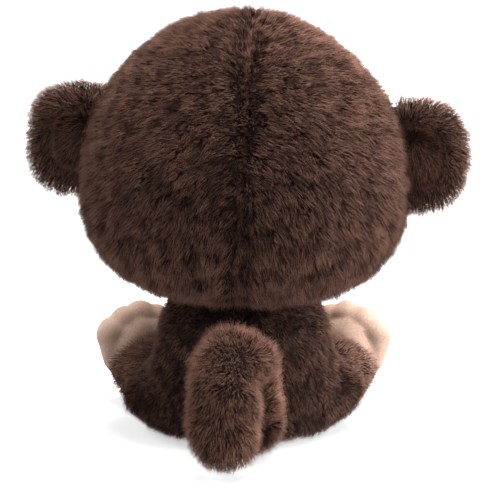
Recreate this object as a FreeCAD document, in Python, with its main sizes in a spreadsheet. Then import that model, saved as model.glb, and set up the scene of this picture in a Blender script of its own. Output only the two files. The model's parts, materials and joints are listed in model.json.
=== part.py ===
import FreeCAD, Part
import os
from math import cos, radians, sin

from FreeCAD import Placement, Rotation, Vector

# Stuffed monkey sitting on the floor, in millimetres. +Z is up, the face looks
# along -Y, the toy's left is +X. The origin is on the floor under the neck.
# All outer sizes include the pile of the plush.

doc = FreeCAD.newDocument("monkey")
sheet = doc.addObject("Spreadsheet::Sheet", "sheet")

DIMENSIONS = {
    "pelt": 6,
    "gap": 0.3,
    # head
    "head_half_width": 89,
    "head_top": 240,
    "head_widest": 143,
    "head_bottom": 75,
    "head_back": -4,
    "head_split": -24,
    "head_roll": -1.8,
    "head_yaw": -3.4,
    # torso and neck
    "neck_height": 48,
    "neck_radius": 50,
    "torso_radius": 54,
    "torso_belly": 27,
    "seat_radius": 36,
    "seat_thick": 6,
    "pellet_radius": 30,
    "pellet_height": 16,
    "pellet_base": 9,
    "bag_wall": 1.5,
    # face
    "brow_radius": 29,
    "brow_spread": 24,
    "cheek_radius": 45,
    "cheek_height": 124,
    "muzzle_wide": 38,
    "muzzle_deep": 26,
    "muzzle_tall": 26,
    "muzzle_front": -84,
    "muzzle_height": 115,
    "muzzle_wall": 3,
    "mouth_radius": 17,
    "mouth_height": 121,
    "thread": 0.8,
    "nose_radius": 7,
    "nose_height": 125,
    "nose_front": -106,
    "eye_spread": 25,
    "eye_height": 158,
    "eye_radius": 7,
    "eye_front": -86,
    "shank_radius": 2.2,
    "shank_length": 16,
    "washer_radius": 8,
    "washer_thick": 1.6,
    # ears
    "ear_radius": 30,
    "ear_thick": 18,
    "ear_spread": 96,
    "ear_hinge": 98.6,
    "ear_back": -5,
    "ear_height": 162,
    "ear_root": 46,
    "ear_round": 8.6,
    "ear_fill_radius": 22,
    "ear_fill_thick": 7,
    # arms, along their own axis from the shoulder
    "shoulder_radius": 12.6,
    "sleeve_radius": 12,
    "cuff_radius": 11,
    "sleeve_length": 36,
    "arm_skin": 4,
    "palm_radius": 12.4,
    "palm_reach": 43,
    "finger_radius": 4.8,
    "finger_length": 9,
    # legs, along their own axis from the hip
    "hip_radius": 22,
    "thigh_radius": 21,
    "ankle_radius": 18.5,
    "leg_length": 38,
    "leg_skin": 5,
    "heel_radius": 19,
    "heel_reach": 43,
    "instep_radius": 18,
    "instep_rise": 13,
    "toe_radius": 6.6,
    "toe_rise": 26,
    "toe_spread": 11,
    # tail
    "tail_root": 50,
    "tail_height": 22,
    "tail_radius": 18,
    "tail_curl": 18.6,
    "tail_curl_back": 90,
    "tail_curl_height": 37,
    "tail_neck_radius": 16,
    "tail_skin": 5,
    "tail_lean": 13,
}
for row, (alias, value) in enumerate(DIMENSIONS.items(), 1):
    sheet.set(f"A{row}", alias)
    sheet.set(f"B{row}", str(value))
    sheet.setAlias(f"B{row}", alias)
doc.recompute()


def size(alias):
    return float(sheet.get(alias))


PELT = size("pelt")
ALONG_Y = Rotation(Vector(1, 0, 0), 90)
SIDES = {"left": 1, "right": -1}
SHOULDER = Vector(32, -42, 58)
ARM_AIM = Vector(-6, -46, 4)
HIP = Vector(42, -36, 24)
NECK = Vector(0, 0, size("neck_height"))
HEAD_TURN = Rotation(Vector(0, 0, 1), size("head_yaw")) * Rotation(Vector(0, 1, 0), size("head_roll"))
UPRIGHT = Placement()
HEAD_STANCE = Placement(NECK - HEAD_TURN.multVec(NECK), HEAD_TURN)
LEG_AIM = Vector(17, -34, -1)
NODES = []
stance = UPRIGHT


def bound(kind, name, formulas, at=(0, 0, 0), turn=None):
    """A Part primitive whose sizes are formulas on the sheet's aliases, in the current stance."""
    piece = doc.addObject(f"Part::{kind}", name)
    for prop, formula in formulas.items():
        piece.setExpression(prop, formula)
    piece.Placement = stance * Placement(Vector(*at), turn or Rotation())
    return piece


def ball(name, radius, at=(0, 0, 0)):
    return bound("Sphere", name, {"Radius": radius}, at)


def cut(name, base, *tools):
    for index, tool in enumerate(tools):
        last = index == len(tools) - 1
        piece = doc.addObject("Part::Cut", name if last else f"{name}_less_{tool.Name}")
        piece.Base, piece.Tool = base, tool
        base = piece
    return base


def common(name, base, tool):
    piece = doc.addObject("Part::Common", name)
    piece.Base, piece.Tool = base, tool
    return piece


def fuse(name, *shapes):
    piece = doc.addObject("Part::MultiFuse", name)
    piece.Shapes = list(shapes)
    return piece


def slab(name, low, high):
    """A box between two corners, for parting a hide along a seam."""
    low, high = Vector(*low), Vector(*high)
    piece = doc.addObject("Part::Box", name)
    piece.Length, piece.Width, piece.Height = high - low
    piece.Placement = stance * Placement(low, Rotation())
    return piece


def node(piece, name):
    piece.Label = name
    NODES.append(piece)
    return piece


def mirrored(vector, side):
    return Vector(vector.x * side, vector.y, vector.z)


def limb_placement(root, aim, side):
    """A stance whose +Z runs along the limb, with +Y as upright as it can be."""
    aim = mirrored(aim, side)
    return Placement(mirrored(root, side), Rotation(Vector(), Vector(0, 0, 1), aim, "ZYX"))


def turned(name, outline, inset, ends=None, dome=None, shift=0.0):
    """A stuffed form: a smooth outline of (radius, height, slope) spun about Z.

    The slope is the angle of the outward normal, so an inset keeps an even wall.
    The ends are the outline's directions at its first and last point, if they matter.
    A dome (radius, height) closes the top with part of a ball from the last point.
    The spun seam is turned aside so that no parting plane runs along it.
    """
    points = [
        Vector(r - inset * cos(radians(a)), 0, z - inset * sin(radians(a)))
        for r, z, a in outline
    ]
    curve = Part.BSplineCurve()
    if ends:
        curve.interpolate(Points=points, InitialTangent=Vector(*ends[0]), FinalTangent=Vector(*ends[1]))
    else:
        curve.interpolate(Points=points)
    edges = [curve.toShape()]
    if dome:
        radius, height = dome[0] - inset, dome[1]
        middle = radians((outline[-1][2] + 90) / 2)
        crown = Vector(0, 0, height + radius)
        halfway = Vector(radius * cos(middle), 0, height + radius * sin(middle))
        edges.append(Part.Arc(points[-1], halfway, crown).toShape())
        points.append(crown)
    corners = [points[-1], Vector(0, 0, points[-1].z), Vector(0, 0, points[0].z), points[0]]
    for a, b in zip(corners, corners[1:]):
        if (a - b).Length > 1e-6:
            edges.append(Part.makeLine(a, b))
    solid = Part.Face(Part.Wire(edges)).revolve(Vector(), Vector(0, 0, 1), 360)
    piece = doc.addObject("Part::Feature", name)
    piece.Shape = solid
    piece.Placement = stance * Placement(Vector(0, shift, 0), Rotation(Vector(0, 0, 1), 15))
    return piece


# ---------------------------------------------------------------- head
# The head and ears are modelled upright and stand a little turned about the neck.
stance = HEAD_STANCE


def head_form(name, inset):
    half = size("head_half_width")
    top, bottom, wide = size("head_top"), size("head_bottom"), size("head_widest")
    outline = [
        (0, top, 90),
        (0.62 * half, wide + 0.8 * (top - wide), 52),
        (half, wide, 0),
        (0.95 * half, wide - 0.42 * (wide - bottom), -22),
        (0.82 * half, wide - 0.7 * (wide - bottom), -42),
        (0.56 * half, wide - 0.91 * (wide - bottom), -66),
        (0, bottom, -90),
    ]
    level = ((1, 0, 0), (-1, 0, 0))
    return turned(name, outline, inset, ends=level, shift=size("head_back"))


head_blank = head_form("head_blank", 0)
head_core = head_form("head_core", PELT)
neck_socket = ball("neck_socket", "sheet.neck_radius + sheet.gap", NECK)

head_hide = cut("head_hide", head_blank, head_core, neck_socket)

split = size("head_split")
head_back_left = common(
    "head_back_left", head_hide, slab("head_rear_left", (0, split, 60), (120, 120, 260))
)
head_back_right = common(
    "head_back_right", head_hide, slab("head_rear_right", (-120, split, 60), (0, 120, 260))
)
head_fore = common("head_fore", head_hide, slab("head_fore_side", (-120, -120, 60), (120, split, 260)))


def face_plug_part(name, radius, spread, height):
    return bound(
        "Cylinder",
        name,
        {"Radius": radius, "Height": "80"},
        (spread, split - 10, height),
        ALONG_Y,
    )


brow_height = size("eye_height") + 1
face_plug = fuse(
    "face_plug",
    face_plug_part("brow_left", "sheet.brow_radius", size("brow_spread"), brow_height),
    face_plug_part("brow_right", "sheet.brow_radius", -size("brow_spread"), brow_height),
    face_plug_part("cheeks", "sheet.cheek_radius", 0, size("cheek_height")),
)
head_front = cut("head_front", head_fore, face_plug)
face_disc = common("face_disc", head_fore, face_plug)

eyes = {}
washers = []
for side_name, side in SIDES.items():
    at = (side * size("eye_spread"), size("eye_front"), size("eye_height"))
    dome = ball(f"eye_dome_{side_name}", "sheet.eye_radius", at)
    stem = bound(
        "Cylinder",
        f"eye_stem_{side_name}",
        {"Radius": "sheet.shank_radius", "Height": "sheet.shank_length"},
        (at[0], at[1] + size("shank_length"), at[2]),
        ALONG_Y,
    )
    eyes[side_name] = fuse(f"eye_{side_name}", dome, stem)
    washer = bound(
        "Cylinder",
        f"eye_washer_{side_name}",
        {"Radius": "sheet.washer_radius", "Height": "sheet.washer_thick"},
        (at[0], at[1] + 12, at[2]),
        ALONG_Y,
    )
    washers.append(cut(f"washer_ring_{side_name}", washer, eyes[side_name]))
eye_washers = fuse("eye_washers", *washers)


def muzzle_form(name, grow):
    piece = bound(
        "Ellipsoid",
        name,
        {
            "Radius1": f"sheet.muzzle_wide + {grow}",
            "Radius2": f"sheet.muzzle_tall + {grow}",
            "Radius3": f"sheet.muzzle_deep + {grow}",
            "Angle1": "-90",
        },
        (0, size("muzzle_front"), size("muzzle_height")),
        Rotation(Vector(0, 1, 0), 90),
    )
    return piece


muzzle_blank = muzzle_form("muzzle_blank", 0)
muzzle_core = muzzle_form("muzzle_core", -size("muzzle_wall"))
muzzle = cut("muzzle", muzzle_blank, muzzle_core, head_blank)
muzzle_stuffing = cut("muzzle_stuffing", muzzle_core, head_blank)

nose_ball = ball("nose_ball", "sheet.nose_radius", (0, size("nose_front"), size("nose_height")))
nose = cut("nose", nose_ball, muzzle_blank)

mouth_skin = cut("mouth_skin", muzzle_form("mouth_cover", size("thread")), muzzle_blank)
mouth_tube = bound(
    "Cylinder",
    "mouth_tube",
    {"Radius": "sheet.mouth_radius + sheet.thread", "Height": "40"},
    (0, size("muzzle_front"), size("mouth_height")),
    ALONG_Y,
)
mouth_bore = bound(
    "Cylinder",
    "mouth_bore",
    {"Radius": "sheet.mouth_radius - sheet.thread", "Height": "60"},
    (0, size("muzzle_front") + 10, size("mouth_height")),
    ALONG_Y,
)
mouth_ring = common("mouth_ring", mouth_skin, cut("mouth_hoop", mouth_tube, mouth_bore))
mouth_stitch = common(
    "mouth_stitch", mouth_ring, slab("mouth_below", (-30, -130, 90), (30, -60, size("mouth_height") - 5))
)

face = cut("face", face_disc, *eyes.values())
head_stuffing = cut("head_stuffing", head_core, neck_socket, *eyes.values(), eye_washers)

for piece in (
    head_back_left,
    head_back_right,
    head_front,
    face,
    head_stuffing,
    eyes["left"],
    eyes["right"],
    eye_washers,
    muzzle,
    muzzle_stuffing,
    nose,
    mouth_stitch,
):
    node(piece, piece.Name)


# ---------------------------------------------------------------- ears
for side_name, side in SIDES.items():
    centre = (side * size("ear_spread"), size("ear_back"), size("ear_height"))
    disc = bound(
        "Cylinder",
        f"ear_disc_{side_name}",
        {"Radius": "sheet.ear_radius", "Height": "sheet.ear_thick"},
        (centre[0], centre[1] + size("ear_thick") / 2, centre[2]),
        ALONG_Y,
    )
    rounded = doc.addObject("Part::Fillet", f"ear_rounded_{side_name}")
    rounded.Base = disc
    doc.recompute()
    rounded.Edges = [
        (number, size("ear_round"), size("ear_round"))
        for number, edge in enumerate(disc.Shape.Edges, 1)
        if edge.Closed and len(edge.Vertexes) == 1
    ]
    outer = [side * size("ear_hinge"), side * (size("ear_spread") + 40)]
    outboard = slab(
        f"ear_outboard_{side_name}", (min(outer), -30, 110), (max(outer), 30, 210)
    )
    flap = common(f"ear_flap_{side_name}", rounded, outboard)
    root = bound(
        "Cylinder",
        f"ear_root_{side_name}",
        {"Radius": "sheet.ear_thick / 2", "Height": "sheet.ear_root"},
        (side * size("ear_hinge"), size("ear_back"), size("ear_height") - size("ear_root") / 2),
    )
    whole = fuse(f"ear_whole_{side_name}", flap, root)
    wadding = bound(
        "Cylinder",
        f"ear_wadding_{side_name}",
        {"Radius": "sheet.ear_fill_radius", "Height": "sheet.ear_fill_thick"},
        (centre[0] + side * 2, centre[1] + size("ear_fill_thick") / 2, centre[2]),
        ALONG_Y,
    )
    filling = common(f"ear_stuffing_{side_name}", wadding, outboard)
    hollow = cut(f"ear_hollow_{side_name}", whole, filling)
    reach = (side * 60, side * 140)
    rear = slab(f"ear_rear_{side_name}", (min(reach), size("ear_back"), 110), (max(reach), 30, 210))
    fore = slab(f"ear_fore_{side_name}", (min(reach), -40, 110), (max(reach), size("ear_back"), 210))
    node(common(f"ear_back_{side_name}", hollow, rear), f"ear_back_{side_name}")
    node(common(f"ear_front_{side_name}", hollow, fore), f"ear_front_{side_name}")
    node(filling, f"ear_stuffing_{side_name}")


# ---------------------------------------------------------------- torso
stance = UPRIGHT


def torso_form(name, inset):
    radius, belly = size("torso_radius"), size("torso_belly")
    neck, height = size("neck_radius"), size("neck_height")
    rise = 25
    outline = [
        (size("seat_radius"), 0, -78),
        (0.91 * radius, 0.3 * belly, -38),
        (radius, belly, -2),
        (neck * cos(radians(rise)), height + neck * sin(radians(rise)), rise),
    ]
    return turned(name, outline, inset, dome=(neck, height))


torso_blank = torso_form("torso_blank", 0)
torso_core = torso_form("torso_core", PELT)
sockets = []
for side_name, side in SIDES.items():
    sockets.append(
        ball(f"shoulder_socket_{side_name}", "sheet.shoulder_radius + sheet.gap", mirrored(SHOULDER, side))
    )
    sockets.append(
        ball(f"hip_socket_{side_name}", "sheet.hip_radius + sheet.gap", mirrored(HIP, side))
    )
sockets.append(
    ball("tail_socket", "sheet.tail_neck_radius + 1 + sheet.gap", (0, size("tail_root"), size("tail_height")))
)

seat_slab = slab("seat_slab", (-80, -80, -10), (80, 80, size("seat_thick")))
torso_hide = cut("torso_hide", torso_blank, torso_core, *sockets, seat_slab)
torso_back_left = common(
    "torso_back_left", torso_hide, slab("torso_rear_left", (0, 0, 0), (80, 80, 110))
)
torso_back_right = common(
    "torso_back_right", torso_hide, slab("torso_rear_right", (-80, 0, 0), (0, 80, 110))
)
torso_front = common("torso_front", torso_hide, slab("torso_fore", (-80, -80, 0), (80, 0, 110)))
seat_panel = cut("seat_panel", common("seat_disc", torso_blank, seat_slab), *sockets)
bag_blank = bound(
    "Cylinder",
    "bag_blank",
    {"Radius": "sheet.pellet_radius", "Height": "sheet.pellet_height"},
    (0, 0, size("pellet_base")),
)
pellets = bound(
    "Cylinder",
    "pellets",
    {
        "Radius": "sheet.pellet_radius - sheet.bag_wall",
        "Height": "sheet.pellet_height - 2 * sheet.bag_wall",
    },
    (0, 0, size("pellet_base") + size("bag_wall")),
)
pellet_bag = cut("pellet_bag", bag_blank, pellets)
torso_stuffing = cut("torso_stuffing", torso_core, seat_slab, *sockets, bag_blank)
for piece in (
    torso_back_left,
    torso_back_right,
    torso_front,
    seat_panel,
    torso_stuffing,
    pellet_bag,
    pellets,
):
    node(piece, piece.Name)


# ---------------------------------------------------------------- arms
def cone(name, wide, narrow, length, start=0.0):
    return bound("Cone", name, {"Radius1": wide, "Radius2": narrow, "Height": length}, (0, 0, start))


for side_name, side in SIDES.items():
    stance = limb_placement(SHOULDER, ARM_AIM, side)
    tag = f"arm_{side_name}"
    blank = fuse(
        f"{tag}_blank",
        ball(f"{tag}_ball", "sheet.shoulder_radius"),
        cone(f"{tag}_cone", "sheet.sleeve_radius", "sheet.cuff_radius", "sheet.sleeve_length"),
    )
    core = fuse(
        f"{tag}_core",
        ball(f"{tag}_core_ball", "sheet.shoulder_radius - sheet.arm_skin"),
        cone(
            f"{tag}_core_cone",
            "sheet.sleeve_radius - sheet.arm_skin",
            "sheet.cuff_radius - sheet.arm_skin",
            "sheet.sleeve_length",
        ),
    )
    palm = ball(f"{tag}_palm", "sheet.palm_radius", (0, 0, size("palm_reach")))
    lumps = [palm]
    for index, bend in enumerate((-36, -12, 12, 36)):
        lumps.append(
            ball(
                f"{tag}_finger_{index}",
                "sheet.finger_radius",
                (
                    size("palm_radius") * sin(radians(bend)),
                    -2,
                    size("palm_reach") + size("finger_length") * cos(radians(bend)) + 1,
                ),
            )
        )
    lumps.append(
        ball(f"{tag}_thumb", "sheet.finger_radius", (-side * 11, 4, size("palm_reach")))
    )
    hand = cut(f"hand_{side_name}", fuse(f"{tag}_mitt", *lumps), blank)
    node(cut(f"arm_skin_{side_name}", blank, core), f"arm_skin_{side_name}")
    node(hand, f"hand_{side_name}")
    node(core, f"arm_stuffing_{side_name}")


# ---------------------------------------------------------------- legs
for side_name, side in SIDES.items():
    stance = limb_placement(HIP, LEG_AIM, side)
    tag = f"leg_{side_name}"
    blank = fuse(
        f"{tag}_blank",
        ball(f"{tag}_ball", "sheet.hip_radius"),
        cone(f"{tag}_cone", "sheet.thigh_radius", "sheet.ankle_radius", "sheet.leg_length"),
    )
    core = fuse(
        f"{tag}_core",
        ball(f"{tag}_core_ball", "sheet.hip_radius - sheet.leg_skin"),
        cone(
            f"{tag}_core_cone",
            "sheet.thigh_radius - sheet.leg_skin",
            "sheet.ankle_radius - sheet.leg_skin",
            "sheet.leg_length",
        ),
    )
    heel = ball(f"{tag}_heel", "sheet.heel_radius", (0, 0, size("heel_reach")))
    instep = ball(
        f"{tag}_instep", "sheet.instep_radius", (0, size("instep_rise"), size("heel_reach") + 1)
    )
    lumps = [heel, instep]
    for index, spread in enumerate((-1.3, -0.45, 0.45, 1.3)):
        lumps.append(
            ball(
                f"{tag}_toe_{index}",
                "sheet.toe_radius",
                (
                    spread * size("toe_spread"),
                    size("toe_rise") - 2.6 * spread**2,
                    size("heel_reach") + 1,
                ),
            )
        )
    foot = cut(f"foot_{side_name}", fuse(f"{tag}_foot", *lumps), blank)
    node(cut(f"leg_skin_{side_name}", blank, core), f"leg_skin_{side_name}")
    node(foot, f"foot_{side_name}")
    node(core, f"leg_stuffing_{side_name}")


# ---------------------------------------------------------------- tail
stance = UPRIGHT


def tail_form(name, inset):
    """A short neck out of the back, a half curl up and over, and a drop to the floor."""
    root, low = size("tail_root"), size("tail_height")
    curl, back, high = size("tail_curl"), size("tail_curl_back"), size("tail_curl_height")
    lean = Rotation(Vector(0, 0, 1), -size("tail_lean"))
    middle = Vector(6.5, back, 0)
    near = middle + lean.multVec(Vector(0, -curl, 0))
    tip = middle + lean.multVec(Vector(0, curl, 0))
    parts = [
        ball(f"{name}_root", f"sheet.tail_neck_radius + 1 - {inset}", (0, root, low)),
        bound(
            "Cylinder",
            f"{name}_neck",
            {"Radius": f"sheet.tail_neck_radius - {inset}", "Height": str(near.y - root)},
            (0, near.y, low),
            ALONG_Y,
        ),
        ball(f"{name}_elbow", f"sheet.tail_radius + 0.4 - {inset}", (near.x, near.y, low)),
        bound(
            "Cylinder",
            f"{name}_rise",
            {"Radius": f"sheet.tail_radius - {inset}", "Height": str(high - low)},
            (near.x, near.y, low),
        ),
        bound(
            "Torus",
            f"{name}_curl",
            {
                "Radius1": "sheet.tail_curl",
                "Radius2": f"sheet.tail_radius - {inset}",
                "Angle3": "180",
            },
            (middle.x, middle.y, high),
            lean * Rotation(Vector(1, 1, 1), 120),
        ),
        bound(
            "Cylinder",
            f"{name}_drop",
            {"Radius": f"sheet.tail_radius - {inset}", "Height": str(high - low + 2)},
            (tip.x, tip.y, low - 2),
        ),
        ball(f"{name}_tip", f"sheet.tail_radius + 0.4 - {inset}", (tip.x, tip.y, low - 2)),
    ]
    return fuse(name, *parts)


tail_blank = tail_form("tail_blank", 0)
tail_core = tail_form("tail_core", size("tail_skin"))
node(cut("tail_skin", tail_blank, tail_core), "tail_skin")
node(tail_core, "tail_stuffing")

# ---------------------------------------------------------------- check and export
doc.recompute()
for piece in doc.Objects:
    if {"Invalid", "Error"} & set(piece.State):
        raise RuntimeError(f"{piece.Name}: {piece.State}")
for piece in NODES:
    shape = piece.Shape
    if shape.isNull() or not shape.isValid() or not shape.Solids:
        raise RuntimeError(f"{piece.Label}: no valid solid")

os.makedirs("parts", exist_ok=True)
for piece in NODES:
    piece.Shape.exportStep(f"parts/{piece.Label}.step")
    print(piece.Label, len(piece.Shape.Solids), round(piece.Shape.Volume))
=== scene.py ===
import json
import math
from typing import NamedTuple

import bpy
import numpy as np
import openvdb
from mathutils import Matrix, Vector, kdtree


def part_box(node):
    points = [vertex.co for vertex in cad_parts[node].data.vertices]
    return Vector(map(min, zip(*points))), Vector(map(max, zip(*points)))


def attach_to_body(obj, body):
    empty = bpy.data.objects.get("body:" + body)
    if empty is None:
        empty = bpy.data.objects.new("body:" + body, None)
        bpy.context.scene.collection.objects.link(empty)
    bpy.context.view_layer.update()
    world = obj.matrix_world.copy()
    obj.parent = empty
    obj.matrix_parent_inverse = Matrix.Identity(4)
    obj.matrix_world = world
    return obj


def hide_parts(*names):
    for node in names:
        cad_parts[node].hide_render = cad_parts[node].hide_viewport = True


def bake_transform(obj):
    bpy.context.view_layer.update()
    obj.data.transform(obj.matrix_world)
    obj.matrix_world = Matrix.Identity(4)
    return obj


# A seated stuffed monkey, face along -Y, the toy's left on +X, in metres.
# Every stuffed form is a smooth field: negative inside, zero near the tips of its
# pile. Skins are meshed from the fields, and the pile is grown on the skins.

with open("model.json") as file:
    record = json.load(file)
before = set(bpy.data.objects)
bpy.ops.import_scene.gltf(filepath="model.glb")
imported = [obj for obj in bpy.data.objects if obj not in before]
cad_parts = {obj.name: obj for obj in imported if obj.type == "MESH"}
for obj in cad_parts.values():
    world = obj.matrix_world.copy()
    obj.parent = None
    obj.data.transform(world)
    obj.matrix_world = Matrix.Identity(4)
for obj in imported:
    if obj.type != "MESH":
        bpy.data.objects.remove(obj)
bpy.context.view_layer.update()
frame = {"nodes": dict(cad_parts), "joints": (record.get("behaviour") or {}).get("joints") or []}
JOINTS = {joint["name"]: joint for joint in frame["joints"]}
SIDES = {"left": 1.0, "right": -1.0}
DENSITY = 1.0
MM = 0.001
TINY = 1e-9  # keeps a divisor away from zero


# ---------------------------------------------------------------- fields
def vec(*xyz):
    """A point or a size in metres, from millimetres."""
    return np.array(xyz, float) * MM


def unit(v):
    return v / np.maximum(np.linalg.norm(v, axis=-1, keepdims=True), TINY)


def blend_min(a, b, k):
    """The union of two fields with a fillet about k wide."""
    h = np.clip(0.5 + 0.5 * (b - a) / k, 0, 1)
    return b * (1 - h) + a * h - k * h * (1 - h)


def blend_max(a, b, k):
    """The part that two fields share, with an edge rounded about k wide."""
    return -blend_min(-a, -b, k)


def ellipsoid(p, centre, radii):
    """Nearly the distance to an ellipsoid."""
    q = (p - centre) / radii
    k0 = np.linalg.norm(q, axis=1)
    k1 = np.linalg.norm(q / radii, axis=1)
    return k0 * (k0 - 1) / np.maximum(k1, TINY)


def capsule(p, a, b, ra, rb):
    """Nearly the distance to a rod from a to b, with a round end of its own radius at each."""
    ab = b - a
    t = np.clip((p - a) @ ab / (ab @ ab), 0, 1)
    return np.linalg.norm(p - a - t[:, None] * ab, axis=1) - (ra + (rb - ra) * t)


def groove(distance, width):
    """One on a line, falling off to zero over about width to each side."""
    return np.exp(-((distance / width) ** 2))


def lumps(p, size, seed):
    """Soft unevenness, mostly from -1 to 1, about size across."""
    count, usual_peak = 5, 3
    waves = np.random.default_rng(seed)
    total = np.zeros(len(p))
    for _ in range(count):
        k = unit(waves.normal(size=3)) * 2 * math.pi / (size * waves.uniform(0.8, 1.6))
        total += np.sin(p @ k + waves.uniform(0, 6.28))
    return total / usual_peak


def slope(field, p):
    """The outward direction of a field at each point."""
    step = 0.4 * MM
    parts = []
    for axis in range(3):
        d = np.zeros(3)
        d[axis] = step
        parts.append(field(p + d) - field(p - d))
    return unit(np.stack(parts, 1))


# ---------------------------------------------------------------- stances
NECK = vec(0, 0, 48)
HEAD_YAW, HEAD_LEAN = -3.4, -1.8  # degrees, read from the photo
HEAD_TURN = np.array(
    Matrix.Rotation(math.radians(HEAD_YAW), 3, "Z")
    @ Matrix.Rotation(math.radians(HEAD_LEAN), 3, "Y")
)
LEG_AIM, ARM_AIM = (17, -34, -1), (-6, -46, 4)  # where the left limbs point


def into_head(p):
    """Points of the shared frame in the head's own upright frame."""
    return (p - NECK) @ HEAD_TURN + NECK


def out_of_head(p):
    """Points of the head's own upright frame in the shared frame."""
    return (p - NECK) @ HEAD_TURN.T + NECK


def limb_axes(aim, side):
    """Across, up and along for a limb, as the rows of a matrix."""
    along = unit(np.array([aim[0] * side, aim[1], aim[2]], float))
    up = unit(np.array([0, 0, 1.0]) - along[2] * along)
    return np.array([np.cross(up, along), up, along])


def limb_frame(p, origin, axes, side):
    """Points in mm across, up and along a limb, across from its outer to its inner side."""
    q = (p - origin) @ axes.T / MM
    q[:, 0] *= -SIDES[side]
    return q


HIP = {s: np.array(JOINTS[f"leg_{s}_spread"]["pos_m"]) for s in SIDES}
SHOULDER = {s: np.array(JOINTS[f"arm_{s}_lift"]["pos_m"]) for s in SIDES}
LEG_AXES = {s: limb_axes(LEG_AIM, k) for s, k in SIDES.items()}
ARM_AXES = {s: limb_axes(ARM_AIM, k) for s, k in SIDES.items()}

# ---------------------------------------------------------------- forms
# The head, in mm, in its own upright frame. "Up" and "down" are its two halves.
HEAD_MIDDLE_Y, HEAD_MIDDLE_Z = -4, 143
HEAD_TALL_UP, HEAD_TALL_DOWN = 92.5, 67
HEAD_REACH, HEAD_WIDE, HEAD_DEEP = 89, 90, 87
HEAD_POWER_UP, HEAD_POWER_DOWN = 1.88, 2.7  # above 2 is squarer than an ellipse
HEAD_SHIFT, HEAD_SHIFT_UP, HEAD_SHIFT_DOWN = 2, 3.0, 1.5  # to the toy's left
BACK_SEAM_DEEP, BACK_SEAM_WIDE, BACK_SEAM_FADE = 3.6, 2.8, 30
SIDE_SEAM_DEEP, SIDE_SEAM_WIDE, SIDE_SEAM_Y, SIDE_SEAM_LOW = 1.2, 3, -20, -30
SEAM_WAVES = ((0.9, 9), (0.5, 3.7))  # how far to the side, and over what height


def seam_offset(p):
    """How far a point is to the side of the back seam, which wavers a little."""
    offset = p[:, 0]
    for aside, height in SEAM_WAVES:
        offset = offset + aside * MM * np.sin(p[:, 2] / (height * MM))
    return offset


def head_upright(p):
    """The head in its own frame, with its seams as grooves."""
    y, z = p[:, 1] - HEAD_MIDDLE_Y * MM, p[:, 2] - HEAD_MIDDLE_Z * MM
    upper = z > 0
    rise = np.abs(z) / np.where(upper, HEAD_TALL_UP * MM, HEAD_TALL_DOWN * MM)
    lean = np.where(upper, HEAD_SHIFT_UP, HEAD_SHIFT_DOWN) * np.clip(rise, 0, 1)
    x = p[:, 0] - (HEAD_SHIFT + lean) * MM
    wide, deep = x * HEAD_REACH / HEAD_WIDE, y * HEAD_REACH / HEAD_DEEP
    across = np.sqrt(wide**2 + deep**2) / (HEAD_REACH * MM)
    power = np.where(upper, HEAD_POWER_UP, HEAD_POWER_DOWN)
    q = (across**power + rise**power) ** (1 / power)
    field = np.sqrt(x**2 + y**2 + z**2) * (1 - 1 / np.maximum(q, 1e-6))
    back = np.clip(y / (BACK_SEAM_FADE * MM), 0, 1)
    back_seam = groove(seam_offset(p), BACK_SEAM_WIDE * MM)
    field = field + BACK_SEAM_DEEP * MM * back * back_seam
    side_seam = groove(y - SIDE_SEAM_Y * MM, SIDE_SEAM_WIDE * MM)
    field = field + SIDE_SEAM_DEEP * MM * side_seam * (z > SIDE_SEAM_LOW * MM)
    return field + 0.8 * MM * lumps(p, 38 * MM, 3)


def head(p):
    return head_upright(into_head(p))


def torso(p):
    chest = ellipsoid(p, vec(0, 0, 48), vec(50, 50, 50))
    hips = ellipsoid(p, vec(0, 0, 28), vec(54, 53, 36))
    haunch_tilt = 0.03  # lower on the toy's left, as it sits in the photo
    lifted = p + p[:, :1] * [0, 0, haunch_tilt]
    haunches = ellipsoid(lifted, vec(0, -9, 19.5), vec(68, 43, 25.5))
    seat_x, seat_y, seat_z = vec(2, 1, 13)
    seat_flat, seat_round = 41 * MM, 12 * MM
    spread = np.hypot(p[:, 0] - seat_x, p[:, 1] - seat_y) - seat_flat
    seat = np.hypot(np.maximum(spread, 0), p[:, 2] - seat_z) - seat_round
    field = blend_min(blend_min(chest, hips, 8 * MM), haunches, 12 * MM)
    field = blend_min(field, seat, 6 * MM)
    floor_gap = 1.0 * MM
    field = blend_max(field, floor_gap - p[:, 2], 5 * MM)
    seam = groove(p[:, 0], 3 * MM) * (p[:, 1] > 0)
    return field + 1.4 * MM * seam + 0.5 * MM * lumps(p, 35 * MM, 5)


# The limbs, in mm from the joint at the root.
LEG_LONG, LEG_DROP, LEG_ROOT_RADIUS, LEG_END_RADIUS = 34, 2.5, 22.5, 20
ARM_LONG, ARM_ROOT_RADIUS, ARM_END_RADIUS = 34, 12.8, 11.4
# The foot and hand: across from the outer side, up and along the limb.
FOOT_ANKLE = ((0.5, 5, 36.0), (16, 19, 15))  # centre and radii
FOOT_PADS = (  # centre, radii and fillet
    ((1, -5, 42.5), (13.5, 17, 15), 6),
    ((0, 9, 44.0), (18, 18.5, 13.5), 9),
)
TOES = ((-13.3, 16.0, 10.2), (-6.0, 21.6, 9.9), (3.4, 24.2, 9.8), (12.4, 22.0, 9.0))
TOE_LONG, TOE_ROOTS_IN, TOE_ROOT_OUT, TOE_TIP_OUT, TOE_FILLET = 13, 0.7, 44.0, 43.5, 1.2
PALM = ((0, -0.5, 41.5), (11.8, 9.3, 12))
FINGERS = ((-8.4, 49), (-2.9, 52.3), (2.9, 52), (8.2, 48.5))  # across and along
THUMB = ((7, 4, 37.0), (10.5, 8.0, 43.0), 4.2, 3.9)  # ends and their radii


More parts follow.
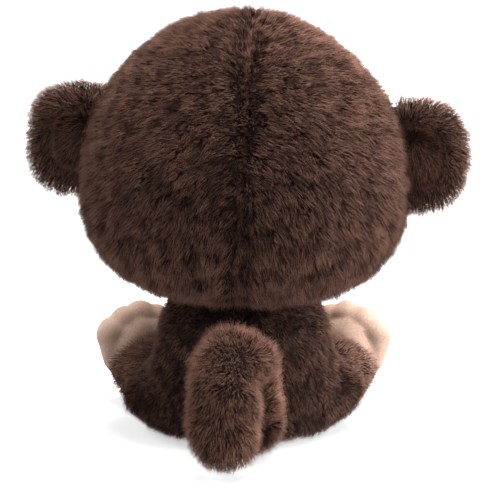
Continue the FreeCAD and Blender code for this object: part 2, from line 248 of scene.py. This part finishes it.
def leg(side):
    a, axes = HIP[side], LEG_AXES[side]
    ankle = a + (axes[2] * LEG_LONG - axes[1] * LEG_DROP) * MM
    return lambda p: capsule(p, a, ankle, LEG_ROOT_RADIUS * MM, LEG_END_RADIUS * MM)


def arm(side):
    a, axes = SHOULDER[side], ARM_AXES[side]
    wrist = a + axes[2] * ARM_LONG * MM
    return lambda p: capsule(p, a, wrist, ARM_ROOT_RADIUS * MM, ARM_END_RADIUS * MM)


def foot(side):
    def field(p):
        q = limb_frame(p, HIP[side], LEG_AXES[side], side)
        d = ellipsoid(q, *map(np.array, FOOT_ANKLE))
        for centre, radii, fillet in FOOT_PADS:
            d = blend_min(d, ellipsoid(q, np.array(centre), np.array(radii)), fillet)
        for across, up, radius in TOES:
            root = np.array([across * TOE_ROOTS_IN, up - TOE_LONG, TOE_ROOT_OUT])
            tip = np.array([across, up, TOE_TIP_OUT])
            d = blend_min(d, capsule(q, root, tip, radius, radius), TOE_FILLET)
        return d * MM + 0.25 * MM * lumps(p, 12 * MM, 4)

    return field


def hand(side):
    root_radius, tip_radius = 4.3, 4.1

    def field(p):
        q = limb_frame(p, SHOULDER[side], ARM_AXES[side], side)
        d = ellipsoid(q, *map(np.array, PALM))
        for across, far in FINGERS:
            root, tip = np.array([across * 0.8, -1, 43.0]), np.array([across, -3.5, far])
            d = blend_min(d, capsule(q, root, tip, root_radius, tip_radius), 0.8)
        root, tip, *radii = THUMB
        thumb = capsule(q, np.array(root), np.array(tip), *radii)
        return blend_min(d, thumb, 1.2) * MM

    return field


# The ears, in mm: a squarish pad with a rolled rim. As in the photo, the left one is
# 2 mm higher than the right one, and both are shifted to the left.
EAR_OUT, EAR_SHIFT, EAR_Y, EAR_Z = 89.8, 1.8, -5, 159.3
EAR_SQUEEZE = (1.02, 1.0, 1.03)
EAR_POWER, EAR_RADIUS, EAR_THICK = 3, 32.5, 9.5
EAR_ROLL_RADIUS, EAR_ROLL_THICK = 22.3, 10.2


def ear(side):
    centre = vec(SIDES[side] * EAR_OUT + EAR_SHIFT, EAR_Y, EAR_Z + SIDES[side])

    def field(p):
        q = (into_head(p) - centre) * np.array(EAR_SQUEEZE)
        wide, tall = np.abs(q[:, 0]), np.abs(q[:, 2])
        rim = (wide**EAR_POWER + tall**EAR_POWER) ** (1 / EAR_POWER)
        pad = np.hypot(rim / EAR_RADIUS, q[:, 1] / EAR_THICK) * EAR_THICK - EAR_THICK * MM
        roll = np.hypot(rim - EAR_ROLL_RADIUS * MM, q[:, 1]) - EAR_ROLL_THICK * MM
        return blend_min(pad, roll, 4 * MM) + 0.5 * MM * lumps(p, 22 * MM, 6)

    return field


TAIL_ROOT = np.array(JOINTS["tail_wag"]["pos_m"])
TAIL_RADIUS, TAIL_CAD_RADIUS, TAIL_RISE = 19.2, 18.0, 3  # mm; higher than the CAD tail


def tail_path():
    """Points out of the back, up, over and down towards the floor."""
    lean, curl = math.radians(18), 17.5  # off the toy's middle, and the bend's radius in mm
    across = np.array([math.sin(lean), math.cos(lean), 0])
    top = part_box("tail_skin")[1].z / MM + TAIL_RISE - TAIL_CAD_RADIUS
    middle = np.array([5.0, 87.0, 0])
    elbow, tip = np.array([0, -3, 23.0]), np.array([0, 0, 23.5])
    points = [
        TAIL_ROOT / MM + np.array([0, -6.0, 0]),
        middle - across * curl * 1.25 + elbow,
    ]
    for turn in np.radians(np.arange(200, -1, -20)):
        height = np.array([0, 0, top - curl + curl * math.sin(turn)])
        points.append(middle + across * curl * math.cos(turn) + height)
    points.append(middle + across * curl + tip)
    return np.array(points) * MM


TAIL_PATH = tail_path()


def tail(p):
    d = np.full(len(p), 1.0)
    for a, b in zip(TAIL_PATH, TAIL_PATH[1:]):
        d = np.minimum(d, capsule(p, a, b, TAIL_RADIUS * MM, TAIL_RADIUS * MM))
    return d + 1.3 * MM * lumps(p, 20 * MM, 8)


def tail_along(p):
    """The direction from the tail's root to its tip beside each point."""
    best, along = np.full(len(p), 1.0), np.zeros((len(p), 3))
    for a, b in zip(TAIL_PATH, TAIL_PATH[1:]):
        d = capsule(p, a, b, 0.0, 0.0)
        along = np.where((d < best)[:, None], unit(b - a), along)
        best = np.minimum(best, d)
    return along


# ---------------------------------------------------------------- materials
def shader(name, roughness, color=None, **inputs):
    material = bpy.data.materials.new(name)
    material.use_nodes = True
    principled = material.node_tree.nodes["Principled BSDF"]
    if color is not None:
        principled.inputs["Base Color"].default_value = (*color, 1)
    principled.inputs["Roughness"].default_value = roughness
    for key, value in inputs.items():
        principled.inputs[key.replace("_", " ")].default_value = value
    return material


def link_color(material, low, high, scale, detail=6.0):
    """Colour that varies between two tones over the surface."""
    tree = material.node_tree
    place = tree.nodes.new("ShaderNodeTexCoord")
    noise = tree.nodes.new("ShaderNodeTexNoise")
    noise.inputs["Scale"].default_value = scale
    noise.inputs["Detail"].default_value = detail
    ramp = tree.nodes.new("ShaderNodeValToRGB")
    for element, at, tone in zip(ramp.color_ramp.elements, (0.3, 0.7), (low, high)):
        element.position = at
        element.color = (*tone, 1)
    tree.links.new(place.outputs["Object"], noise.inputs["Vector"])
    tree.links.new(noise.outputs["Fac"], ramp.inputs["Fac"])
    tree.links.new(ramp.outputs["Color"], tree.nodes["Principled BSDF"].inputs["Base Color"])
    return material


def link_bump(material, scale, distance, ribs=False):
    """Fine grain, or the ribs of a wound thread, as bump."""
    tree = material.node_tree
    place = tree.nodes.new("ShaderNodeTexCoord")
    bump = tree.nodes.new("ShaderNodeBump")
    bump.inputs["Distance"].default_value = distance
    bump.inputs["Strength"].default_value = 0.6
    if ribs:
        texture = tree.nodes.new("ShaderNodeTexWave")
        texture.inputs["Distortion"].default_value = 1.2
        texture.bands_direction = "X"
    else:
        texture = tree.nodes.new("ShaderNodeTexNoise")
        texture.inputs["Detail"].default_value = 8.0
    texture.inputs["Scale"].default_value = scale
    tree.links.new(place.outputs["Object"], texture.inputs["Vector"])
    tree.links.new(texture.outputs["Fac"], bump.inputs["Height"])
    tree.links.new(bump.outputs["Normal"], tree.nodes["Principled BSDF"].inputs["Normal"])
    return material


def pile_tones(name, darkest, lightest, steps):
    """Materials from dark to light, one for each share of the strands."""
    made = []
    for step in range(steps):
        share = step / (steps - 1)
        color = tuple(a + (b - a) * share for a, b in zip(darkest, lightest))
        made.append(shader(f"{name}_{step + 1}", 0.7, color, Specular_IOR_Level=0.2))
    return made


# The root half of every strand gets one of these darker tones. This is painted shade deep in the
# pile, where the strands shade one another.
ROOT_SHADE_TONES = pile_tones("pile_root_shade", (0.026, 0.010, 0.007), (0.056, 0.022, 0.014), 3)
TIP_TONES = pile_tones("pile_tip", (0.058, 0.025, 0.018), (0.268, 0.136, 0.096), 6)

BACKING = shader("brown_backing", 0.9)
link_color(BACKING, (0.018, 0.009, 0.007), (0.04, 0.021, 0.015), 900)
link_bump(BACKING, 1600, 0.5 * MM)

VELOUR = shader("pale_velour", 0.75, Sheen_Weight=0.35, Sheen_Roughness=0.5)
link_color(VELOUR, (0.56, 0.345, 0.25), (0.69, 0.465, 0.355), 900, detail=8)
link_bump(VELOUR, 1300, 0.45 * MM)

THREAD = shader("dark_thread", 0.45, Sheen_Weight=0.2)
link_color(THREAD, (0.03, 0.015, 0.011), (0.07, 0.04, 0.03), 700)
link_bump(THREAD, 500, 0.3 * MM, ribs=True)

EYE = shader("eye_plastic", 0.07, Coat_Weight=0.6, Coat_Roughness=0.03)
link_color(EYE, (0.006, 0.005, 0.005), (0.014, 0.010, 0.009), 120)

PELLET = shader("pellet_plastic", 0.5)
link_color(PELLET, (0.5, 0.5, 0.48), (0.75, 0.75, 0.72), 400)
link_bump(PELLET, 300, 0.6 * MM)

LINING = shader("lining_cloth", 0.85)
link_color(LINING, (0.55, 0.53, 0.48), (0.72, 0.7, 0.65), 500)
link_bump(LINING, 900, 0.3 * MM)


# ---------------------------------------------------------------- meshing
def place_mesh(name, mesh):
    piece = bpy.data.objects.new(name, mesh)
    bpy.context.scene.collection.objects.link(piece)
    return piece


def mesh_object(name, points, polygons, smooth=True):
    mesh = bpy.data.meshes.new(name)
    mesh.from_pydata([tuple(v) for v in points], [], [tuple(f) for f in polygons])
    mesh.polygons.foreach_set("use_smooth", [smooth] * len(mesh.polygons))
    mesh.update()
    return place_mesh(name, mesh)


def around(nodes, margin=3 * MM):
    """The box round some CAD nodes, with a margin."""
    boxes = [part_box(n) for n in nodes]
    low = np.min([b[0] for b in boxes], 0) - margin
    high = np.max([b[1] for b in boxes], 0) + margin
    return low, high


def form_piece(name, field, box, voxel, material):
    """A piece with a field's zero surface inside a box, facing outwards."""
    low, high = (np.array(corner, float) for corner in box)
    band = 4 * voxel
    counts = np.ceil((high - low) / voxel).astype(int) + 1
    axes = [low[k] + voxel * np.arange(counts[k]) for k in range(3)]
    spots = np.stack(np.meshgrid(*axes, indexing="ij"), -1).reshape(-1, 3)
    values = np.clip(field(spots), -band, band).reshape(counts)
    volume = openvdb.FloatGrid(band)
    volume.copyFromArray(values.astype(np.float32))
    points, quads = volume.convertToQuads(isovalue=0.0)
    points = points * voxel + low
    a, b, c = (points[quads[:, k]] for k in range(3))
    if np.mean(np.sum(np.cross(b - a, c - a) * slope(field, a), 1)) < 0:
        quads = quads[:, ::-1]
    piece = mesh_object(name, points, quads)
    piece.data.materials.append(material)
    return piece


def skin(name, field, nodes, voxel, inset, margin=3 * MM):
    """The cloth under the pile of a form, in place of its CAD solids."""
    box = around(nodes, margin)
    piece = form_piece(name, lambda p: field(p) + inset, box, voxel, BACKING)
    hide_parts(*nodes)
    return piece


# ---------------------------------------------------------------- pile
class Pile(NamedTuple):
    """How the pile of one piece differs from that of the others."""

    per_mm2: float
    length: float
    lean: float  # degrees from straight out of the cloth
    pull: float  # how far strands gather to the tip that leads their tuft
    lighter: float
    fine: float  # share of the full width of a strand


DRIFT, STRAY = 0.35, 0.22  # how far combing wanders over the cloth, and by strand
LENGTHS, UNEVEN = (0.65, 1.2), 0.16  # by strand, and over the cloth
LEAN_SPREAD = 12  # degrees
LOW_LEAN, HIGH_LEAN = 0.55, 1.5  # a strand leans more towards its tip
TONE_BY_STRAND, TONE_OVER_CLOTH = 0.16, 0.2
TUFTS = ((0.11, 1.0, 0.16), (0.025, 0.7, 0.12))  # leaders per strand, pull, tone
ROOT_DEPTH, WIDTHS = 0.3, (0.2, 0.34)  # mm
MOST_STRANDS = 19000  # in one mesh, so that no exported piece is too large

# A spike's seven corners are two rings of three and a tip.
SPIKE_ROOT_FACES = ((0, 2, 1), (0, 1, 4, 3), (1, 2, 5, 4), (2, 0, 3, 5))
SPIKE_TIP_FACES = ((3, 4, 6), (4, 5, 6), (5, 3, 6))
SPIKE_FACES = SPIKE_ROOT_FACES + SPIKE_TIP_FACES
SPIKE_CORNERS = 7


def scatter(piece, per_mm2, rng, keep):
    """Points spread evenly over the part of a skin that keep allows."""
    mesh = piece.data
    mesh.calc_loop_triangles()
    corners = np.zeros(len(mesh.loop_triangles) * 3, np.int32)
    mesh.loop_triangles.foreach_get("vertices", corners)
    points = np.zeros(len(mesh.vertices) * 3)
    mesh.vertices.foreach_get("co", points)
    a, b, c = points.reshape(-1, 3)[corners.reshape(-1, 3)].transpose(1, 0, 2)
    area = np.linalg.norm(np.cross(b - a, c - a), axis=1) / 2
    area = area * keep((a + b + c) / 3)
    total = np.cumsum(area)
    count = int(total[-1] / MM**2 * per_mm2 * DENSITY)
    marks = (np.arange(count) + rng.uniform(size=count)) / count * total[-1]
    which = np.searchsorted(total, marks)
    u, v = rng.uniform(size=(2, count, 1))
    flip = (u + v) > 1
    u, v = np.where(flip, 1 - u, u), np.where(flip, 1 - v, v)
    return a[which] + u * (b - a)[which] + v * (c - a)[which]


def nearest_heads(roots, share, rng):
    """For each root, the index of the strand that leads its tuft."""
    heads = rng.choice(len(roots), max(1, int(len(roots) * share)), replace=False)
    tree = kdtree.KDTree(len(heads))
    for index, head_index in enumerate(heads):
        tree.insert(Vector(roots[head_index]), index)
    tree.balance()
    return np.array([heads[tree.find(Vector(r))[1]] for r in roots])


def spikes(name, roots, middles, tips, width, tones):
    """One closed tapered spike per strand: a three-sided foot, a bend and a point."""
    count = len(roots)
    along = unit(middles - roots)
    side = unit(np.cross(along, np.array([0.31, 0.52, 0.79])))
    other = np.cross(along, side)
    spin = np.linspace(0, 40 * math.pi, count)[:, None]
    rings = []
    for centre, share in ((roots, 1.0), (middles, 0.8)):
        for corner in range(3):
            angle = spin + corner * 2 * math.pi / 3
            outwards = side * np.cos(angle) + other * np.sin(angle)
            rings.append(centre + outwards * width[:, None] * share / 2)
    points = np.stack([*rings, tips], 1)
    points[:, :, 2] = np.maximum(points[:, :, 2], 0.5 * MM)  # off the floor
    pattern = np.concatenate(SPIKE_FACES)
    sizes = np.tile([len(face) for face in SPIKE_FACES], count)
    loops = (pattern[None, :] + SPIKE_CORNERS * np.arange(count)[:, None]).ravel()
    starts = np.concatenate([[0], np.cumsum(sizes)[:-1]])
    mesh = bpy.data.meshes.new(name)
    mesh.vertices.add(SPIKE_CORNERS * count)
    mesh.vertices.foreach_set("co", points.reshape(-1).astype(np.float32))
    mesh.loops.add(len(loops))
    mesh.loops.foreach_set("vertex_index", loops.astype(np.int32))
    mesh.polygons.add(len(sizes))
    mesh.polygons.foreach_set("loop_start", starts.astype(np.int32))
    mesh.polygons.foreach_set("use_smooth", np.ones(len(sizes), bool))
    for material in (*ROOT_SHADE_TONES, *TIP_TONES):
        mesh.materials.append(material)
    low = (tones * len(ROOT_SHADE_TONES)).astype(int)
    high = len(ROOT_SHADE_TONES) + (tones * len(TIP_TONES)).astype(int)
    # Root faces take the darker tones, which are painted shade low in the pile; tip faces take
    # the tip tones.
    shaded_root_index = np.repeat(low[:, None], len(SPIKE_ROOT_FACES), 1)
    tip_index = np.repeat(high[:, None], len(SPIKE_TIP_FACES), 1)
    index = np.concatenate([shaded_root_index, tip_index], 1)
    mesh.polygons.foreach_set("material_index", index.ravel().astype(np.int32))
    mesh.update(calc_edges=True)
    return place_mesh(name, mesh)


def grow(name, piece, field, flow, pile, seed, attach, keep):
    """Grows pile on a skin and hands each finished piece of it to attach."""
    rng = np.random.default_rng(seed)
    roots = scatter(piece, pile.per_mm2, rng, keep)
    count = len(roots)
    out = slope(field, roots)
    drift = np.stack([lumps(roots, 14 * MM, seed + k) for k in range(3)], 1)
    comb = flow(roots) + DRIFT * drift + rng.normal(0, STRAY, roots.shape)
    comb = unit(comb - out * np.sum(comb * out, 1, keepdims=True))
    reach = pile.length * rng.uniform(*LENGTHS, count)
    reach = reach * (1 + UNEVEN * lumps(roots, 13 * MM, seed + 9))
    lean = np.radians(pile.lean + rng.normal(0, LEAN_SPREAD, count))[:, None]
    low = out * np.cos(lean * LOW_LEAN) + comb * np.sin(lean * LOW_LEAN)
    high = out * np.cos(lean * HIGH_LEAN) + comb * np.sin(lean * HIGH_LEAN)
    middles = roots + low * reach[:, None] * 0.5
    tips = middles + high * reach[:, None] * 0.5
    tone = rng.normal(0, TONE_BY_STRAND, count)
    tone = tone + TONE_OVER_CLOTH * lumps(roots, 11 * MM, seed + 5)
    for share, strength, shade in TUFTS:
        leader = nearest_heads(roots, share, rng)
        pull = pile.pull * strength * rng.uniform(0.5, 1.0, (count, 1))
        tips = tips + (tips[leader] - tips) * pull
        tone = tone + shade * rng.normal(size=count)[leader]
    straight = roots + (tips - roots) * 0.5
    middles = middles + (straight - middles) * 0.35
    roots = roots - out * ROOT_DEPTH * MM
    width = rng.uniform(*WIDTHS, count) * pile.fine * MM
    tones = np.clip(0.5 + pile.lighter + tone, 0, 0.999)
    strands = (roots, middles, tips, width, tones)
    ranks = np.argsort(roots[:, 2])
    parts = max(1, math.ceil(count / MOST_STRANDS))
    for number, chosen in enumerate(np.array_split(ranks, parts)):
        tuft = spikes(f"{name}_{number + 1:02d}", *(each[chosen] for each in strands))
        attach(tuft)


# lighter lifts a piece's strand tones. On the legs it is painted light of the brightly lit
# thighs. On the ears and tail it is partly their own paler brown and partly painted light of
# their backlit fringes.
HEAD_PILE = Pile(2.0, 10.5 * MM, 31, pull=0.5, lighter=0.08, fine=0.88)
EAR_PILE = Pile(2.6, 9.5 * MM, 34, pull=0.3, lighter=0.45, fine=0.7)
TORSO_PILE = Pile(1.8, 7.0 * MM, 40, pull=0.35, lighter=0.0, fine=0.85)
LEG_PILE = Pile(1.9, 7.0 * MM, 38, pull=0.35, lighter=0.5, fine=0.8)
ARM_PILE = Pile(1.8, 5.8 * MM, 40, pull=0.35, lighter=0.0, fine=0.8)
TAIL_PILE = Pile(2.4, 10.5 * MM, 29, pull=0.45, lighter=0.45, fine=0.75)


# ---------------------------------------------------------------- flows
# Which way the pile is combed at each point, before it is laid along the cloth.
def downwards(p):
    return np.tile([0.0, 0.0, -1.0], (len(p), 1))


def head_flow(p):
    """Out from the crown, away from the seam behind, and away from the face in front."""
    q = into_head(p)
    crown = q - vec(0, 0, 238)
    far = np.linalg.norm(crown, axis=1, keepdims=True)
    spread = unit(crown * np.array([1, 1, 0])) * np.exp(-far / (45 * MM))
    off = seam_offset(q)[:, None]
    high_up = np.clip((q[:, 2:3] - 90 * MM) / (90 * MM), 0.25, 1)
    wide_parting = 0.9 * high_up * np.exp(-np.abs(off) / (30 * MM))
    parting = wide_parting + 2.0 * np.exp(-np.abs(off) / (5 * MM))
    behind = q[:, 1:2] > 0
    aside = np.sign(off) * (parting * behind + 0.2 * high_up) * np.array([1.0, 0, 0])
    in_front = np.clip(-q[:, 1:2] / (60 * MM), 0, 1)
    from_face = q - vec(0, 0, 140)
    ring = unit(from_face * np.array([1, 0, 1])) * in_front * 1.6
    down = np.array([0, 0, -1.0]) * (1 - in_front)
    return (down + 1.2 * spread + aside + ring) @ HEAD_TURN.T


def limb_flow(axes):
    sag = np.array([0, 0, -0.35])
    return lambda p: np.tile(axes[2], (len(p), 1)) + sag


def ear_flow(side):
    centre, sag = vec(SIDES[side] * 88, -5, 166), np.array([0, 0, -0.3])
    return lambda p: unit(into_head(p) - centre) @ HEAD_TURN.T + sag


def tail_flow(p):
    return tail_along(p) + np.array([0, 0, -0.25])


# ---------------------------------------------------------------- face
# The pale patch in mm, seen along Y in the head's frame: two round brows and cheeks.
BROW_X, BROW_Z, BROW_RADIUS = 23, 159, 27
CHEEK_Z, CHEEK_RADIUS, CHEEK_WIDER, CHEEK_SOFTER = 127, 36, 1.12, 0.95
PATCH_DEPTH, PATCH_BACK = 3.2, -47  # under the tips of the pile, and its rear limit
MOUTH_LOW, MOUTH_WIDE, MOUTH_RISE, LIP_TOP, NOSE_Z = 104, 17, 7, 118, 122
STITCH_RADIUS = 0.75


def mask_outline(q):
    """Field of the face patch's outline, without depth."""
    x, z = q[:, 0], q[:, 2]
    brow = np.hypot(np.abs(x) - BROW_X * MM, z - BROW_Z * MM) - BROW_RADIUS * MM
    cheek = np.hypot(x / CHEEK_WIDER, z - CHEEK_Z * MM) - CHEEK_RADIUS * MM
    return blend_min(brow, cheek * CHEEK_SOFTER, 10 * MM)


def face_front(q):
    """The face and the muzzle before they are cut to the outline, in the head's frame."""
    muzzle = ellipsoid(q, vec(0, -84, 116), vec(36, 25, 24))
    return blend_min(head_upright(q) + PATCH_DEPTH * MM, muzzle, 4 * MM)


def face_field(p):
    q = into_head(p)
    patch = blend_max(face_front(q), mask_outline(q), 4 * MM)
    return blend_max(patch, q[:, 1] - PATCH_BACK * MM, 6 * MM)


def on_face(x, z):
    """Where a line along +Y at each (x, z) meets the face, in the head's frame."""
    start, stop, steps = -130 * MM, -40 * MM, 400
    y = np.linspace(start, stop, steps)
    found = []
    for px, pz in zip(x, z):
        line = np.stack([np.full_like(y, px), y, np.full_like(y, pz)], 1)
        found.append([px, y[np.argmax(face_front(line) < 0)], pz])
    return np.array(found)


def stitch(name, points):
    """A round thread through points, closed at both ends."""
    count, sides = len(points), 10
    ways = unit(np.gradient(points, axis=0))
    first = unit(np.cross(ways, np.array([0.2, 1.0, 0.1])))[:, None]
    second = np.cross(ways, first[:, 0])[:, None]
    angles = (np.arange(sides) * 2 * math.pi / sides)[:, None]
    outwards = first * np.cos(angles) + second * np.sin(angles)
    rings = (points[:, None] + STITCH_RADIUS * MM * outwards).reshape(-1, 3)
    start, end, last_ring = count * sides, count * sides + 1, (count - 1) * sides
    faces = []
    for i in range(count - 1):
        for j in range(sides):
            a, b = i * sides + j, i * sides + (j + 1) % sides
            faces.append((a, b, b + sides, a + sides))
    for j in range(sides):
        following = (j + 1) % sides
        faces.append((start, following, j))
        faces.append((end, last_ring + j, last_ring + following))
    piece = mesh_object(name, np.concatenate([rings, points[:1], points[-1:]]), faces)
    piece.data.materials.append(THREAD)
    return piece


# ---------------------------------------------------------------- build
def rides(body):
    return lambda piece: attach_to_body(piece, body)


def bends():
    return lambda piece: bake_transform(piece)


def build_head():
    nodes = ["head_back_left", "head_back_right", "head_front", "head_stuffing"]
    cloth = skin("head_skin", head, nodes, voxel=2.0 * MM, inset=5.5 * MM)
    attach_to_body(cloth, "head")

    def keep(p):
        q = into_head(p)
        face = (mask_outline(q) < -1.5 * MM) & (q[:, 1] < -40 * MM)
        neck = np.linalg.norm(p - NECK, axis=1) < 49 * MM
        return ~(face | neck)

    grow("head_pile", cloth, head, head_flow, HEAD_PILE, 11, rides("head"), keep)


def build_face():
    nodes = ["face", "muzzle", "muzzle_stuffing"]
    piece = form_piece("face_velour", face_field, around(nodes), 1.4 * MM, VELOUR)
    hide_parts(*nodes)
    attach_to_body(piece, "head")

    bend = np.linspace(-1, 1, 25)
    curve = on_face(bend * MOUTH_WIDE * MM, (MOUTH_LOW + MOUTH_RISE * bend**2) * MM)
    smile = stitch("mouth_line", out_of_head(curve))
    height = np.linspace(MOUTH_LOW, LIP_TOP, 9) * MM
    drop = stitch("lip_line", out_of_head(on_face(np.zeros(9), height)))

    spot = on_face(np.zeros(1), np.array([NOSE_Z * MM]))[0]
    middle, reach = out_of_head(spot[None])[0], 10 * MM

    def nose_field(p):
        return ellipsoid(into_head(p), spot + vec(0, 0.5, 0), vec(7.5, 3.2, 5))

    box = middle - reach, middle + reach
    nose = form_piece("nose_embroidery", nose_field, box, 0.6 * MM, THREAD)
    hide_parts("nose")
    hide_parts("mouth_stitch")
    for part in (smile, drop, nose):
        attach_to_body(part, "head")


def build_ear(side):
    k, margin = SIDES[side], 24 * MM
    nodes = [f"ear_back_{side}", f"ear_front_{side}", f"ear_stuffing_{side}"]
    field = ear(side)
    name = f"ear_skin_{side}"
    cloth = skin(name, field, nodes, voxel=1.5 * MM, inset=4.5 * MM, margin=margin)
    inner_centre = vec(k * 96, -12, 161)

    def inner(p):
        q = into_head(p)
        disc = ellipsoid(q, inner_centre, vec(19, 3.4, 19))
        cup = ellipsoid(q, inner_centre - vec(0, 3.4, 0), vec(13, 2.2, 13))
        return blend_max(disc, -cup, 2 * MM)

    box = around([f"ear_front_{side}"], margin)
    lining = form_piece(f"ear_velour_{side}", inner, box, 1.2 * MM, VELOUR)
    attach = bends()
    attach(cloth)
    attach(lining)

    def keep(p):
        q = into_head(p)
        aside = np.linalg.norm((q - inner_centre)[:, [0, 2]], axis=1)
        lined = (aside < 17 * MM) & (q[:, 1] < -6 * MM)
        return ~lined & (np.abs(q[:, 0]) > 80 * MM)

    seed = 31 + int(k)
    grow(f"ear_pile_{side}", cloth, field, ear_flow(side), EAR_PILE, seed, attach, keep)


def build_torso():
    panels = ["torso_back_left", "torso_back_right", "torso_front", "seat_panel"]
    nodes = [*panels, "torso_stuffing"]
    cloth = skin(
        "torso_skin", torso, nodes, voxel=1.8 * MM, inset=4.6 * MM, margin=20 * MM
    )
    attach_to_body(cloth, "torso")
    limbs = [tail, *(leg(s) for s in SIDES), *(arm(s) for s in SIDES)]

    def keep(p):
        covered = np.min([form(p) for form in limbs], 0) < -6 * MM
        under = (p[:, 2] < 8 * MM) & (np.linalg.norm(p[:, :2], axis=1) < 40 * MM)
        return (p[:, 2] < 84 * MM) & ~covered & ~under

    grow("torso_pile", cloth, torso, downwards, TORSO_PILE, 51, rides("torso"), keep)


def build_leg(side):
    body, axes, hip, form = f"leg_{side}", LEG_AXES[side], HIP[side], leg(side)
    attach = bends()
    nodes = [f"leg_skin_{side}", f"leg_stuffing_{side}"]
    cloth = skin(f"leg_cloth_{side}", form, nodes, voxel=1.6 * MM, inset=4.5 * MM)
    attach(cloth)
    box = around([f"foot_{side}"])
    sole = form_piece(f"foot_velour_{side}", foot(side), box, 0.9 * MM, VELOUR)
    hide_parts(f"foot_{side}")
    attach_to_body(sole, body)

    def keep(p):
        return (torso(p) > -5 * MM) & ((p - hip) @ axes[2] < 39 * MM)

    seed = 71 + int(SIDES[side])
    grow(f"leg_pile_{side}", cloth, form, limb_flow(axes), LEG_PILE, seed, attach, keep)


def build_arm(side):
    body, axes, shoulder, form = f"arm_{side}", ARM_AXES[side], SHOULDER[side], arm(side)
    attach = bends()
    nodes = [f"arm_skin_{side}", f"arm_stuffing_{side}"]
    cloth = skin(f"arm_cloth_{side}", form, nodes, voxel=1.3 * MM, inset=3.6 * MM)
    attach(cloth)
    box = around([f"hand_{side}"])
    mitt = form_piece(f"hand_velour_{side}", hand(side), box, 0.8 * MM, VELOUR)
    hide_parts(f"hand_{side}")
    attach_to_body(mitt, body)

    def keep(p):
        return (torso(p) > -4 * MM) & ((p - shoulder) @ axes[2] < 33 * MM)

    seed = 91 + int(SIDES[side])
    grow(f"arm_pile_{side}", cloth, form, limb_flow(axes), ARM_PILE, seed, attach, keep)


def build_tail():
    nodes = ["tail_skin", "tail_stuffing"]
    cloth = skin("tail_cloth", tail, nodes, voxel=1.6 * MM, inset=5.5 * MM, margin=8 * MM)
    attach = bends()
    attach(cloth)

    def keep(p):
        return torso(p) > -3 * MM

    grow("tail_pile", cloth, tail, tail_flow, TAIL_PILE, 111, attach, keep)


def finish_cad_nodes():
    """Materials for the pieces that stay as the CAD made them."""
    for node, material in (
        ("eye_left", EYE),
        ("eye_right", EYE),
        ("eye_washers", PELLET),
        ("pellets", PELLET),
        ("pellet_bag", LINING),
    ):
        piece = frame["nodes"][node]
        piece.data.materials.clear()
        piece.data.materials.append(material)


# ---------------------------------------------------------------- studio
FLOOR_HALF = 9
WHITE = (1, 1, 1, 1)
# Towards each light, its strength, and how many degrees wide it looks.
SUNS = {
    "key": ((-1.0, -0.05, 0.16), 5.2, 30),
    "rim": ((0.9, -0.5, 0.8), 1.1, 30),
    "top": ((-0.14, 0.03, 1.0), 6.7, 38),
}
AZIMUTH, ELEVATION, DISTANCE = 180, 12, 2.6  # degrees and metres
TARGET = (-0.0035, 0.0, 0.1024)
SENSOR, FIELD_WIDTH = 36, 0.275  # mm, and metres across at the target


def soft_sun(name, place, strength, spread):
    """A wide, soft light that comes from the direction of a place."""
    lamp = bpy.data.lights.new(name, "SUN")
    lamp.energy = strength
    lamp.angle = math.radians(spread)
    holder = bpy.data.objects.new(name, lamp)
    holder.rotation_euler = (-Vector(place)).to_track_quat("-Z", "Y").to_euler()
    bpy.context.scene.collection.objects.link(holder)


def for_camera(tree, unseen, seen):
    """One value where the camera sees a surface, and another for the light it gives."""
    path = tree.nodes.new("ShaderNodeLightPath")
    level = tree.nodes.new("ShaderNodeMapRange")
    level.inputs["To Min"].default_value = unseen
    level.inputs["To Max"].default_value = seen
    tree.links.new(path.outputs["Is Camera Ray"], level.inputs["Value"])
    return level.outputs["Result"]


def build_studio():
    """A floor and backdrop that look white but give the toy little light."""
    scene = bpy.context.scene
    scene.view_settings.view_transform = "Standard"
    corners = [(-1, -1), (1, -1), (1, 1), (-1, 1)]
    points = [(x * FLOOR_HALF, y * FLOOR_HALF, 0) for x, y in corners]
    floor = mesh_object("floor", points, [(0, 1, 2, 3)], smooth=False)
    paper = shader("floor_paper", 0.9, Emission_Color=WHITE)
    tree = paper.node_tree
    coat = tree.nodes["Principled BSDF"].inputs
    tree.links.new(for_camera(tree, 0.0, 0.6), coat["Emission Strength"])
    tree.links.new(for_camera(tree, 0.45, 0.93), coat["Base Color"])
    floor.data.materials.append(paper)
    world = bpy.data.worlds.new("studio")
    world.use_nodes = True
    tree = world.node_tree
    backdrop = tree.nodes["Background"]
    backdrop.inputs["Color"].default_value = WHITE
    tree.links.new(for_camera(tree, 0.1, 1.0), backdrop.inputs["Strength"])
    scene.world = world
    for name, (place, strength, spread) in SUNS.items():
        soft_sun(name, place, strength, spread)


def build_camera():
    azimuth, elevation = math.radians(AZIMUTH), math.radians(ELEVATION)
    target = Vector(TARGET)
    way = Vector((math.sin(azimuth), -math.cos(azimuth), 0)) * math.cos(elevation)
    way.z = math.sin(elevation)
    lens = bpy.data.cameras.new("camera")
    lens.sensor_width = SENSOR
    lens.lens = SENSOR * DISTANCE / FIELD_WIDTH
    lens.clip_end = 50
    holder = bpy.data.objects.new("camera", lens)
    holder.location = target + way * DISTANCE
    holder.rotation_euler = (-way).to_track_quat("-Z", "Y").to_euler()
    bpy.context.scene.collection.objects.link(holder)
    bpy.context.scene.camera = holder


build_camera()
build_studio()
build_head()
build_face()
build_torso()
build_tail()
for side_name in SIDES:
    build_ear(side_name)
    build_leg(side_name)
    build_arm(side_name)
finish_cad_nodes()
